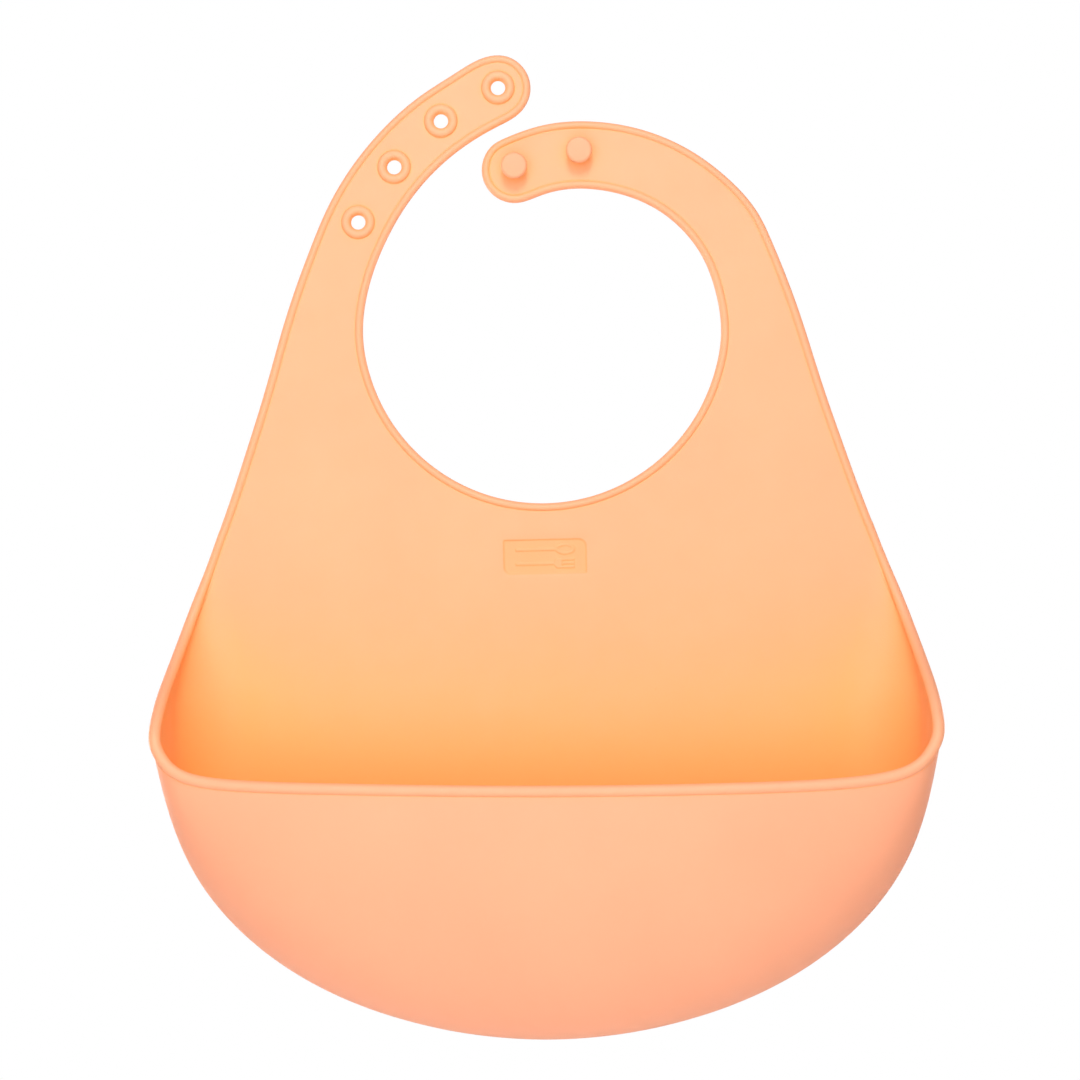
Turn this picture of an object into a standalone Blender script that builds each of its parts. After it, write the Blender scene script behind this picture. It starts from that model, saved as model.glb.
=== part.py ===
"""Moulded silicone bib with a catch-all pocket and two neck straps.

The bib stands upright as worn.  X runs across it, Z up, and the wearer is on the +Y side.
The origin is the centre of the neck opening, on the sheet's mid-plane (y = 0).
The flat chest sheet lies in the XZ plane.  Heights towards the viewer are measured along -Y.
Every sheet is cut where the silicone flexes, so each flexing zone is its own body.
"""
from math import cos, pi, radians, sin, sqrt

import bmesh
import bpy
import numpy as np
from mathutils import Vector
from mathutils.geometry import delaunay_2d_cdt

MM = 0.001

# ---- driving dimensions, millimetres ----
SHEET_T = 1.8              # thickness of the sheet
BEAD_R = 1.3               # radius of the rounded bead along every free edge
GAP = 0.3                  # gap between neighbouring bodies
NECK_R = 52.9              # radius of the neck opening
FOLD_Z = -59.5             # line across the chest where the bib folds
SIDE_END_Z = -120.5        # where the pocket's outline reaches its full width
BOWL_HALF_W = 109.5        # half width of the pocket
BOWL_DROP = 87.5           # drop of the pocket's outline below SIDE_END_Z
BOWL_ROUND_X = 1.92        # fullness of the pocket's outline towards the bottom
BOWL_ROUND_Z = 2.44        # and towards the sides
LIP_LEAN = radians(78.0)   # how far the front wall has turned by the time it reaches the lip
EYELET_HOLE_R = 2.15       # hole through an eyelet
EYELET_BARREL_R = 3.2      # outside of an eyelet where it passes through the sheet
EYELET_RING_R = 4.9        # outside of its raised ring
EYELET_RISE = 1.3          # top of the ring above the sheet's face
STUD_HEAD_R = 3.85
STUD_HEAD_T = 2.1
STUD_NECK_R = 2.1
STUD_RISE = 5.2            # top of a stud above the sheet's face
LABEL_W, LABEL_H = 24.8, 10.5
LABEL_AT = (-0.1, -68.6)   # centre of the label recess
LABEL_TURN = radians(0.4)
LABEL_STEP = 0.45          # depth of the recess
LABEL_ROUND, LABEL_SHARP = 2.2, 0.8   # radii of its two kinds of corner

EYELETS = [(-11.8, 69.8), (-28.8, 60.3), (-42.8, 47.0), (-53.7, 30.9)]   # tip to root
STUDS = [(-7.3, 46.1), (11.8, 50.3)]                                     # tip to root

# Arm edge from the shoulder to the pocket's full width, (x, z), mirrored for the other side.
ARM_EDGE = [(67.8, 24), (72.5, 12), (76.6, 0), (80.2, -12), (83.9, -24), (87.9, -36), (92.0, -48),
            (96.4, -60), (100.1, -70), (103.8, -80), (107.0, -91), (109.2, -104), (110.0, -118)]
ARM_FLAT = 8               # the first of these lie on the flat chest

# Pocket stations from the middle of the lip round to the top of the side:
# rim x, rim z, rim height, angle on the pocket's outline (None: on the arm edge),
# height of the widest point, width of the fillet into the back
POCKET = [
    (0.0, -132.8, 50.0, 90, 13.5, 14.0), (30.0, -132.6, 49.9, 68.5, 13.5, 14.5),
    (60.0, -132.0, 49.5, 47, 14.0, 16.0), (85.0, -130.9, 48.8, 28, 16.0, 19.0),
    (97.0, -129.2, 48.0, 18, 18.0, 21.0), (104.0, -125.8, 47.0, 10, 19.0, 22.0),
    (107.6, -120.5, 45.8, 3.4, 19.5, 22.0), (None, -115.0, 43.5, None, 19.0, 22.0),
    (None, -111.0, 39.5, None, 18.0, 21.5), (None, -106.0, 32.0, None, 15.5, 20.5),
    (None, -100.0, 21.5, None, 12.5, 18.5), (None, -94.0, 13.0, None, 9.0, 16.0),
    (None, -88.0, 7.0, None, 5.6, 13.5), (None, -82.0, 3.6, None, 3.2, 11.0),
    (None, -76.0, 1.5, None, 1.4, 8.5), (None, -70.0, 0.0, None, 0.0, 6.0),
    (None, -65.0, 0.0, None, 0.0, 5.0), (None, FOLD_Z - GAP / 2 - SHEET_T / 2, 0.0, None, 0.0, 4.5),
]

# Lines where the straps bend: centre of the strap's curve, angle about it, radius of the strap's middle
HOLE_CENTRE, HOLE_MID_R = (21.4, -7.8), 84.6
STUD_CENTRE, STUD_MID_R = (13.0, -1.2), 50.5
HOLE_BENDS = [168.0, 146.0, 119.8]
STUD_BENDS = [25.0, 67.0]

# Plane that parts the pocket's front from its back: through the bend at the bottom of the pocket
FRONT_AXIS = (-13.5, -207.1)     # y, z
FRONT_SLOPE = 0.118              # how far the plane leans forward per unit of height

HALF_T = SHEET_T / 2
SHEET_INSET = 2 * BEAD_R + GAP   # the sheet stops this far inside the free edge
PALE, DEEP = (0.96, 0.55, 0.30, 1.0), (0.93, 0.47, 0.20, 1.0)


# ---- plane curves ----
def through(knots, steps):
    """Smooth curve through the knots (any number of columns), steps samples per span."""
    k = np.array(knots, float)
    k = np.vstack([2 * k[0] - k[1], k, 2 * k[-1] - k[-2]])
    out = []
    for i in range(1, len(k) - 2):
        a, b, c, d = k[i - 1], k[i], k[i + 1], k[i + 2]
        for s in np.arange(steps) / steps:
            out.append(0.5 * (2 * b + (c - a) * s + (2 * a - 5 * b + 4 * c - d) * s * s
                              + (3 * b - a - 3 * c + d) * s ** 3))
    out.append(k[-2])
    return np.array(out)


def arc(cx, cz, r, start, end, count):
    turn = np.radians(np.linspace(start, end, count))
    return [(cx + r * cos(t), cz + r * sin(t)) for t in turn]


def free_edge():
    """The free edge of the flat part: up one arm, round both straps and the neck, down the other arm."""
    arm = ARM_EDGE[:ARM_FLAT]
    knots = [(-x, z) for x, z in reversed(arm)]
    knots += arc(19.3, -6.9, 92.3, 152.0, 118.0, 5)
    knots += arc(-12.0, 69.7, 9.8, 105.0, -45.0, 6)
    knots += [(-12.2, 58.4), (-25.9, 49.9), (-37.2, 38.6), (-45.7, 25.0), (-51.3, 10.0)]
    knots += arc(0, 0, NECK_R, 184.0, 356.0, 15)
    knots += arc(14.0, 1.0, 38.1, 12.0, 72.0, 5)
    knots += [(16.3, 39.4), (8.3, 39.6), (0.4, 37.9)]
    knots += arc(-7.2, 45.6, 9.8, -90.0, -255.0, 7)
    knots += arc(11.9, -3.3, 62.8, 99.0, 33.0, 6)
    knots += arm
    return through(knots, 2)


def unit(v):
    return v / np.linalg.norm(v, axis=-1, keepdims=True)


def inset(path, dist):
    """Open path moved to its right-hand side, which is the sheet's side of the free edge."""
    step = unit(np.gradient(path, axis=0))
    return path + dist * np.stack([step[:, 1], -step[:, 0]], 1)


def inset_loop(loop, dist):
    """Closed counter-clockwise loop moved inwards, with mitred corners."""
    ahead = unit(np.roll(loop, -1, axis=0) - loop)
    n_out = np.stack([-ahead[:, 1], ahead[:, 0]], 1)
    n_in = np.roll(n_out, 1, axis=0)
    scale = 1 + (n_in * n_out).sum(1)
    return loop + dist * (n_in + n_out) / scale[:, None]


def counter_clockwise(loop):
    x, z = loop[:, 0], loop[:, 1]
    area = (x * np.roll(z, -1) - np.roll(x, -1) * z).sum()
    return loop if area > 0 else loop[::-1]


def bend(centre, mid_r, degrees, tipwards):
    """Middle of a bend line, and the unit vector along the strap towards its tip."""
    t = radians(degrees)
    mid = np.array([centre[0] + mid_r * cos(t), centre[1] + mid_r * sin(t)])
    return mid, np.array([sin(t), -cos(t)]) * tipwards


def crossings(path, line, shift):
    """Where the path crosses a bend line moved along the strap: the nearest place on each side of it."""
    mid, along = line
    across = np.array([-along[1], along[0]])
    side = (path - mid) @ along - shift
    found = {}
    for i in range(len(path) - 1):
        if side[i] * side[i + 1] <= 0 and side[i] != side[i + 1]:
            t = i + side[i] / (side[i] - side[i + 1])
            off = float((at(path, t) - mid) @ across)
            if abs(off) < abs(found.get(off > 0, (0, 1e9))[1]):
                found[off > 0] = (t, off)
    return sorted(t for t, _ in found.values())


def at(path, t):
    i = min(int(t), len(path) - 2)
    return path[i] + (path[i + 1] - path[i]) * (t - i)


def part_of(path, t0, t1):
    """The stretch of a path between two fractional indices, without points crowding its ends."""
    first, last = at(path, t0), at(path, t1)
    inner = [path[i] for i in range(int(t0) + 1, int(t1) + 1) if t0 < i < t1
             and min(np.linalg.norm(path[i] - first), np.linalg.norm(path[i] - last)) > SHEET_T]
    return np.array([first] + inner + [last])


# ---- meshes ----
def material(name, color):
    mat = bpy.data.materials.new(name)
    mat.use_nodes = True
    shader = mat.node_tree.nodes["Principled BSDF"]
    shader.inputs["Base Color"].default_value = color
    shader.inputs["Roughness"].default_value = 0.55
    mat.diffuse_color = color
    return mat


def add_object(name, bm, color):
    bmesh.ops.remove_doubles(bm, verts=bm.verts, dist=1e-6)
    bmesh.ops.dissolve_degenerate(bm, dist=1e-6, edges=bm.edges)
    bmesh.ops.recalc_face_normals(bm, faces=bm.faces)
    mesh = bpy.data.meshes.new(name)
    bm.to_mesh(mesh)
    bm.free()
    mesh.shade_smooth()
    mesh.set_sharp_from_angle(angle=radians(40))
    obj = bpy.data.objects.new(name, mesh)
    bpy.context.scene.collection.objects.link(obj)
    obj.data.materials.append(material(name, color))
    return obj


def grid_faces(bm, rows):
    """Quads between rows of vertices."""
    for r0, r1 in zip(rows, rows[1:]):
        for a, b, c, d in zip(r0, r0[1:], r1[1:], r1):
            if len({a, b, c, d}) == 4:
                bm.faces.new((a, b, c, d))


def flat_fill(outer, holes):
    """Triangles that fill the outer loop less its holes, as index triples into outer + holes."""
    loops = [outer] + holes
    points, edges, n = [], [], 0
    for loop in loops:
        points += [Vector((float(x), float(z))) for x, z in loop]
        edges += [(n + i, n + (i + 1) % len(loop)) for i in range(len(loop))]
        n += len(loop)
    _, _, faces, source, _, _ = delaunay_2d_cdt(points, edges, [], 0, 1e-7)

    def inside(p, loop):
        a, b = loop, np.roll(loop, -1, axis=0)
        hit = (a[:, 1] > p[1]) != (b[:, 1] > p[1])
        with np.errstate(divide="ignore", invalid="ignore"):
            x = a[:, 0] + (p[1] - a[:, 1]) * (b[:, 0] - a[:, 0]) / (b[:, 1] - a[:, 1])
        return (hit & (p[0] < x)).sum() % 2 == 1

    out = []
    for face in faces:
        tri = [source[i][0] for i in face]
        mid = sum((np.array(points[i]) for i in tri), np.zeros(2)) / 3
        if inside(mid, outer) and not any(inside(mid, h) for h in holes):
            out.append(tri)
    return out


def rounding(half):
    """Steps in from a rounded edge: distance in, and half thickness there."""
    steps = [0.0, 0.2, 1.0]
    return [(half * s, half * max(0.3, sqrt(1 - (1 - s) ** 2))) for s in steps]


def plate(name, loop, holes, color, y_front=-HALF_T, y_back=HALF_T):
    """Flat sheet with full-round edges inside the loop, less round holes (x, z, radius)."""
    bm = bmesh.new()
    half, mid = (y_back - y_front) / 2, (y_back + y_front) / 2
    loop = counter_clockwise(loop)
    rings = [[inset_loop(loop, d) for d, _ in rounding(half)]]
    for x, z, r in holes:
        turn = np.linspace(0, 2 * pi, 16, endpoint=False)
        rings.append([np.stack([x + (r + d) * np.cos(turn), z + (r + d) * np.sin(turn)], 1)
                      for d, _ in rounding(half)])
    heights = [h for _, h in rounding(half)]
    inner = {}
    for sign in (-1, 1):
        inner[sign] = []
        for ring in rings:
            rows = [[bm.verts.new((x * MM, (mid + sign * h) * MM, z * MM)) for x, z in pts]
                    for pts, h in zip(ring, heights)]
            grid_faces(bm, [row + row[:1] for row in rows])
            inner[sign] += rows[-1]
            inner.setdefault((sign, "edge"), []).append(rows[0])
    for front, back in zip(inner[(-1, "edge")], inner[(1, "edge")]):
        grid_faces(bm, [front + front[:1], back + back[:1]])
    for tri in flat_fill(rings[0][-1], [r[-1] for r in rings[1:]]):
        for sign in (-1, 1):
            bm.faces.new([inner[sign][i] for i in tri])
    return add_object(name, bm, color)


def bead(name, path, color, sides=8):
    """Round bar along a path of (x, y, z) points, with rounded ends."""
    p = np.array(path, float)
    clear = 1.2 * BEAD_R
    body = [q for q in p if min(np.linalg.norm(q - p[0]), np.linalg.norm(q - p[-1])) > clear]
    # the last radius at each end closes as a hemisphere
    into = unit(p[1] - p[0]), unit(p[-2] - p[-1])
    shares = [0.02, 0.12, 0.45, 1.0]
    widths = [sqrt(1 - (1 - s) ** 2) for s in shares]
    start = [p[0] + into[0] * BEAD_R * s for s in shares]
    stop = [p[-1] + into[1] * BEAD_R * s for s in shares[::-1]]
    widths = widths + [1.0] * len(body) + widths[::-1]
    p = np.array(start + body + stop)
    bm = bmesh.new()
    rows = []
    for q, t, w in zip(p, unit(np.gradient(p, axis=0)), widths):
        u = unit(np.cross(t, (0.0, 1.0, 0.0) if abs(t[1]) < 0.97 else (0.0, 0.0, 1.0)))
        v = np.cross(t, u)
        row = [q + BEAD_R * w * (cos(a) * u + sin(a) * v)
               for a in np.linspace(0, 2 * pi, sides, endpoint=False) + pi / sides]
        rows.append([bm.verts.new(tuple(c * MM)) for c in row])
    grid_faces(bm, [row + row[:1] for row in rows])
    bm.faces.new(rows[0][::-1])
    bm.faces.new(rows[-1])
    return add_object(name, bm, color)


def turned(name, x, z, profile, color, count=24):
    """Round piece about the Y axis through (x, z): profile of (radius, y), closed when it starts off-axis."""
    bm = bmesh.new()
    rows = []
    for a in np.linspace(0, 2 * pi, count, endpoint=False):
        rows.append([bm.verts.new(((x + r * cos(a)) * MM, y * MM, (z + r * sin(a)) * MM)) for r, y in profile])
    closed = profile[0][0] > 0.01
    rows = [row + row[:1] if closed else row for row in rows]
    grid_faces(bm, rows + rows[:1])
    return add_object(name, bm, color)


# ---- the pocket ----
def arm_x(z):
    edge = through(ARM_EDGE, 8)
    return float(np.interp(-z, -edge[:, 1], edge[:, 0]))


def pocket_stations(steps):
    """Rows of (rim x, z, height, outline x, z, height of the widest point, fillet width), left to right."""
    rows = []
    for x, z, h, degrees, wide_h, fillet in POCKET:
        if degrees is None:
            x = ox = arm_x(z) - BEAD_R
            oz = z
        else:
            t = radians(degrees)
            ox = 0.0 if degrees == 90 else (BOWL_HALF_W - BEAD_R) * cos(t) ** (2 / BOWL_ROUND_X)
            oz = SIDE_END_Z - (BOWL_DROP - HALF_T) * sin(t) ** (2 / BOWL_ROUND_Z)
        rows.append((x, z, h, ox, oz, wide_h, fillet))
    left = [(-r[0], r[1], r[2], -r[3], *r[4:]) for r in rows[:0:-1]]
    return through(left + rows, steps)


def pocket_profiles(steps, shares):
    """Mid-surface points from the flat back, round the bottom and up to the bead, one row per station."""
    stations = pocket_stations(steps)
    stations[:, 2] = np.maximum(stations[:, 2], 0)
    stations[:, 5] = np.maximum(stations[:, 5], 0)
    outline = stations[:, 3:5]
    along = unit(np.gradient(outline, axis=0))
    inward = np.stack([-along[:, 1], along[:, 0]], 1)
    inward[0], inward[-1] = (1, 0), (-1, 0)
    full = []
    for (rx, rz, rh, ox, oz, wh, fillet), n in zip(stations, inward):
        foot = np.array([ox, oz]) + n * fillet
        pts = []
        for t in np.linspace(0, pi / 2, 25):
            xz = foot + (np.array([ox, oz]) - foot) * sin(t)
            pts.append((xz[0], -wh * (1 - cos(t)), xz[1]))
        for t in np.linspace(0, LIP_LEAN, 41)[1:]:
            turn = (1 - cos(t)) / (1 - cos(LIP_LEAN))
            xz = np.array([ox, oz]) + (np.array([rx, rz]) - np.array([ox, oz])) * turn
            pts.append((xz[0], -(wh + (rh - wh) * sin(t) / sin(LIP_LEAN)), xz[1]))
        full.append(np.array(pts))
    rim = np.array([pts[-1] for pts in full])
    out = []
    for pts in full:
        # stop short of the bead
        away = distance_to_path(pts, rim) - BEAD_R - 1.6 * GAP
        last = max(i for i in range(len(pts)) if away[i] > 0)
        f = away[last] / (away[last] - away[last + 1])
        pts = np.vstack([pts[:last + 1], pts[last] + f * (pts[last + 1] - pts[last])])
        run = np.r_[0, np.cumsum(np.linalg.norm(np.diff(pts, axis=0), axis=1))]
        out.append([[np.interp(s * run[-1], run, pts[:, k]) for k in range(3)] for s in shares])
    return np.array(out), rim


def distance_to_path(points, path):
    a, step = path[:-1], np.diff(path, axis=0)
    rel = points[:, None] - a[None]
    t = np.clip((rel * step).sum(2) / (step ** 2).sum(1), 0, 1)
    return np.linalg.norm(rel - t[..., None] * step, axis=2).min(1)


def pocket_shell():
    """The whole lower bib as one closed mesh: flat back with the label window, and the pocket round it."""
    shares = [0, 0.07, 0.15, 0.24, 0.36, 0.52, 0.70, 0.86, 1.0]
    mid, rim = pocket_profiles(2, shares)
    du, dv = np.gradient(mid, axis=0), np.gradient(mid, axis=1)
    normal = unit(np.cross(dv, du))
    if normal[len(mid) // 2, 1, 1] > 0:
        normal = -normal
    # the foot of the pocket, and the sides where they lie flat, face the viewer
    normal[:, 0] = (0, -1, 0)
    normal[np.abs(mid[:, -1, 1]) < 0.05] = (0, -1, 0)

    bm = bmesh.new()
    side = {}
    for sign in (1, -1):
        pts = mid + sign * HALF_T * normal
        side[sign] = [[bm.verts.new(tuple(p * MM)) for p in row] for row in pts]
        grid_faces(bm, side[sign])
    rims = [[row[-1] for row in side[s]] for s in (1, -1)]
    grid_faces(bm, rims)

    # rounded top edge, right across the sheet
    foot = mid[:, 0][:, [0, 2]]
    span = np.linspace(foot[0, 0], foot[-1, 0], 14)[1:-1]
    top_x = list(mid[0, ::-1, 0]) + list(span) + list(mid[-1, :, 0])
    top_z = mid[0, 0, 2]
    rows = {}
    for sign in (1, -1):
        rows[sign] = [[bm.verts.new((x * MM, -sign * h * MM, (top_z + HALF_T - d) * MM)) for x in top_x]
                      for d, h in rounding(HALF_T)]
        grid_faces(bm, rows[sign])
    grid_faces(bm, [rows[1][0], rows[-1][0]])
    for k in (0, -1):
        grid_faces(bm, [[row[k] for row in rows[1]], [row[k] for row in rows[-1]]])

    # flat back between the foot of the pocket and the top edge
    loop = np.vstack([foot, np.stack([span[::-1], np.full(len(span), top_z)], 1)])
    window = label_loop(GAP)
    for tri in flat_fill(loop, [window]):
        pts = np.vstack([loop, window])[tri]
        for sign in (1, -1):
            bm.faces.new([bm.verts.new((x * MM, -sign * HALF_T * MM, z * MM)) for x, z in pts])
    walls = [[bm.verts.new((x * MM, y * MM, z * MM)) for x, z in window] for y in (-HALF_T, HALF_T)]
    grid_faces(bm, [w + w[:1] for w in walls])
    bmesh.ops.remove_doubles(bm, verts=bm.verts, dist=2e-6)
    return bm, rim


def label_loop(grow):
    """Label recess: a slightly turned rectangle, two opposite corners round and two nearly sharp."""
    w, h = LABEL_W / 2 + grow, LABEL_H / 2 + grow
    pts = []
    corners = (1, 1, LABEL_ROUND), (-1, 1, LABEL_SHARP), (-1, -1, LABEL_ROUND), (1, -1, LABEL_SHARP)
    for start, (sx, sz, r) in zip((0, 90, 180, 270), corners):
        for t in np.radians(start + np.linspace(0, 90, 5 if r > 1 else 3)):
            pts.append((sx * (w - r) + r * cos(t), sz * (h - r) + r * sin(t)))
    p = np.array(pts)
    c, s = cos(LABEL_TURN), sin(LABEL_TURN)
    return np.stack([p[:, 0] * c - p[:, 1] * s + LABEL_AT[0], p[:, 0] * s + p[:, 1] * c + LABEL_AT[1]], 1)


def keep_side(bm, shift, ahead):
    """Cut a mesh with the parting plane moved forward by shift, keep the front or the back, and cap it."""
    along = Vector((0, -1, -FRONT_SLOPE)).normalized()
    point = Vector((0, FRONT_AXIS[0] * MM, FRONT_AXIS[1] * MM)) + along * shift * MM
    geom = bm.verts[:] + bm.edges[:] + bm.faces[:]
    bmesh.ops.bisect_plane(bm, geom=geom, dist=1e-7, plane_co=point, plane_no=along,
                           clear_inner=ahead, clear_outer=not ahead)
    rim = [e for e in bm.edges if e.is_boundary]
    caps = bmesh.ops.holes_fill(bm, edges=rim, sides=0)["faces"]
    bmesh.ops.triangulate(bm, faces=caps)
    return bm


def main():
    for obj in list(bpy.data.objects):
        bpy.data.objects.remove(obj, do_unlink=True)

    edge = free_edge()
    sheet, trim = inset(edge, SHEET_INSET), inset(edge, BEAD_R)
    # the sheet and its beads stop at the fold line
    for path in (sheet, trim):
        path[0, 1] = path[-1, 1] = FOLD_Z + GAP / 2
        path[0, 0] = -(arm_x(FOLD_Z) - (SHEET_INSET if path is sheet else BEAD_R))
        path[-1, 0] = -path[0, 0]

    hole = [bend(HOLE_CENTRE, HOLE_MID_R, d, 1) for d in HOLE_BENDS]
    stud = [bend(STUD_CENTRE, STUD_MID_R, d, -1) for d in STUD_BENDS]
    last = len(edge) - 1

    def cuts(path):
        h = [(crossings(path, b, -GAP / 2), crossings(path, b, GAP / 2)) for b in hole]
        s = [(crossings(path, b, -GAP / 2), crossings(path, b, GAP / 2)) for b in stud]
        return h, s

    # -- sheets --
    h, s = cuts(sheet)
    (ho, hi), (si, so) = h[0][0], s[0][0]
    plate("chest_sheet", np.vstack([part_of(sheet, 0, ho), part_of(sheet, hi, si), part_of(sheet, so, last)]),
          [], PALE)
    names = ["hole_strap_root", "hole_strap_middle", "hole_strap_tip"]
    held = [EYELETS[3:], EYELETS[1:3], EYELETS[:1]]
    for i, name in enumerate(names):
        o0, i1 = h[i][1]
        if i < 2:
            o1, i0 = h[i + 1][0]
            loop = np.vstack([part_of(sheet, o0, o1), part_of(sheet, i0, i1)])
        else:
            loop = part_of(sheet, o0, i1)
        plate(name, loop, [(x, z, EYELET_BARREL_R + GAP) for x, z in held[i]], PALE)
    i0, o1 = s[0][1]
    i1, o0 = s[1][0]
    plate("stud_strap_root", np.vstack([part_of(sheet, i0, i1), part_of(sheet, o0, o1)]), [], PALE)
    plate("stud_strap_tip", part_of(sheet, *s[1][1]), [], PALE)

    # -- beads of the chest and the straps --
    h, s = cuts(trim)
    flat = lambda t0, t1: [(x, 0.0, z) for x, z in part_of(trim, t0, t1)]
    bead("arm_bead_left", flat(0, h[0][0][0]), DEEP)
    bead("neckline_bead", flat(h[0][0][1], s[0][0][0]), DEEP)
    bead("arm_bead_right", flat(s[0][0][1], last), DEEP)
    for i, name in enumerate(names[:2]):
        bead(name + "_outer_bead", flat(h[i][1][0], h[i + 1][0][0]), DEEP)
        bead(name + "_inner_bead", flat(h[i + 1][0][1], h[i][1][1]), DEEP)
    bead("hole_strap_tip_bead", flat(*h[2][1]), DEEP)
    bead("stud_strap_root_inner_bead", flat(s[0][1][0], s[1][0][0]), DEEP)
    bead("stud_strap_root_outer_bead", flat(s[1][0][1], s[0][1][1]), DEEP)
    bead("stud_strap_tip_bead", flat(*s[1][1]), DEEP)

    # -- eyelets and studs --
    face = -HALF_T - GAP
    crown = -HALF_T - EYELET_RISE
    eyelet_profile = [(EYELET_HOLE_R, HALF_T - 0.3), (EYELET_HOLE_R + 0.3, HALF_T), (EYELET_BARREL_R, HALF_T),
                      (EYELET_BARREL_R, face), (EYELET_RING_R - 0.1, face), (EYELET_RING_R, face - 0.3),
                      (EYELET_RING_R - 0.5, crown + 0.2), (EYELET_RING_R - 1.2, crown),
                      (EYELET_HOLE_R + 0.7, crown + 0.1), (EYELET_HOLE_R, crown + 0.8)]
    for n, (x, z) in enumerate(EYELETS, 1):
        turned(f"eyelet_{n}", x, z, eyelet_profile, DEEP, 16)
    top = -HALF_T - STUD_RISE
    stud_profile = [(0, face), (STUD_NECK_R + 0.5, face), (STUD_NECK_R, face - 0.7),
                    (STUD_NECK_R, top + STUD_HEAD_T + 0.2), (STUD_HEAD_R - 0.4, top + STUD_HEAD_T),
                    (STUD_HEAD_R, top + STUD_HEAD_T - 0.4), (STUD_HEAD_R, top + 0.6),
                    (STUD_HEAD_R - 0.6, top), (0, top)]
    for n, (x, z) in enumerate(STUDS, 1):
        turned(f"stud_{n}", x, z, stud_profile, DEEP, 16)

    # -- pocket --
    shell, rim = pocket_shell()
    front = shell.copy()
    add_object("pocket_back", keep_side(shell, -GAP / 2, False), PALE)
    add_object("pocket_front", keep_side(front, GAP / 2, True), PALE)
    plate("label_field", label_loop(0), [], DEEP, -HALF_T + LABEL_STEP, HALF_T)

    # -- beads round the pocket --
    along = np.array([0, -1, -FRONT_SLOPE]) / sqrt(1 + FRONT_SLOPE ** 2)
    past = (rim - np.array([0, *FRONT_AXIS])) @ along
    n = len(rim)
    half = n // 2
    left_cut = [i + (past[i] + GAP / 2) / (past[i] - past[i + 1]) for i in range(half)
                if past[i] + GAP / 2 < 0 <= past[i + 1] + GAP / 2][0]
    lip_cut = [i + (past[i] - GAP / 2) / (past[i] - past[i + 1]) for i in range(half)
               if past[i] - GAP / 2 < 0 <= past[i + 1] - GAP / 2][0]
    start = rim[0] + np.array([0, 0, HALF_T])
    rim_left = np.vstack([start, part_of(rim, 0, left_cut)])
    bead("rim_bead_left", rim_left, DEEP)
    bead("rim_bead_right", rim_left * (-1, 1, 1), DEEP)
    bead("lip_bead", part_of(rim, lip_cut, n - 1 - lip_cut), DEEP)


main()
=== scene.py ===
"""Looks of the silicone bib: one continuous moulded skin, split where the silicone flexes.

Same frame as the CAD: X across, Z up, wearer on +Y, origin at the centre of the neck opening.
Shapes are worked out in millimetres; heights are measured towards the viewer, along -Y.
"""
from math import cos, pi, radians, sin, sqrt

import bmesh
import bpy
import numpy as np
from mathutils import Matrix, Vector
from mathutils.geometry import delaunay_2d_cdt


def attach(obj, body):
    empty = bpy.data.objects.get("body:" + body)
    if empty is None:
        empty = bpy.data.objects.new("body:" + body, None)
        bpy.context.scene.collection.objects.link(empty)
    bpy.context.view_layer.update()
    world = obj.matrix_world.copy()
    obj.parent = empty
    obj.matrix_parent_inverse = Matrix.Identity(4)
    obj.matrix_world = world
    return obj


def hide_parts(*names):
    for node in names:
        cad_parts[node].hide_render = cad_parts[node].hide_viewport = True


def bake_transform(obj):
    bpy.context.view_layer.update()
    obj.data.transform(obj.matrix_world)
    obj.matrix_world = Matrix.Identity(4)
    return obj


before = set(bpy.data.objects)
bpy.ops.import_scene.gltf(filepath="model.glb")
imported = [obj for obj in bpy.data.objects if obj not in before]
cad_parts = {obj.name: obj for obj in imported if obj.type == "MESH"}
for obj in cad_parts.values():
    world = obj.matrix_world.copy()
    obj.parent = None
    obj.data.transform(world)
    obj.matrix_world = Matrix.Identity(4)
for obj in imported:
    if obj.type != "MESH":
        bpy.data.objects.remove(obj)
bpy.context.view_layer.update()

MM = 0.001
HALF_T = 0.9                 # half the sheet's thickness
CREASE_H = 0.78              # height of the bottom of the crease beside the bead

# ---- outline of the flat part (x, z), as in the CAD ----
NECK_R = 52.9
ARM_EDGE = [(67.8, 24), (72.5, 12), (76.6, 0), (80.2, -12), (83.9, -24), (87.9, -36), (92.0, -48),
            (96.4, -60), (100.1, -70), (103.8, -80), (107.0, -91), (109.2, -104), (110.0, -118)]
ARM_FLAT = 8
JOIN_Z = -60.55              # the flat edge hands over to the pocket's rim here
EYELETS = [(-11.8, 69.8), (-28.8, 60.3), (-42.8, 47.0), (-53.7, 30.9)]
STUDS = [(-7.3, 46.1), (11.8, 50.3)]

# ---- bead along the free edge: half width by place ----
BEAD_STRAP, BEAD_NECK, BEAD_ARM, BEAD_LIP = 1.22, 1.25, 1.4, 1.6

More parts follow.
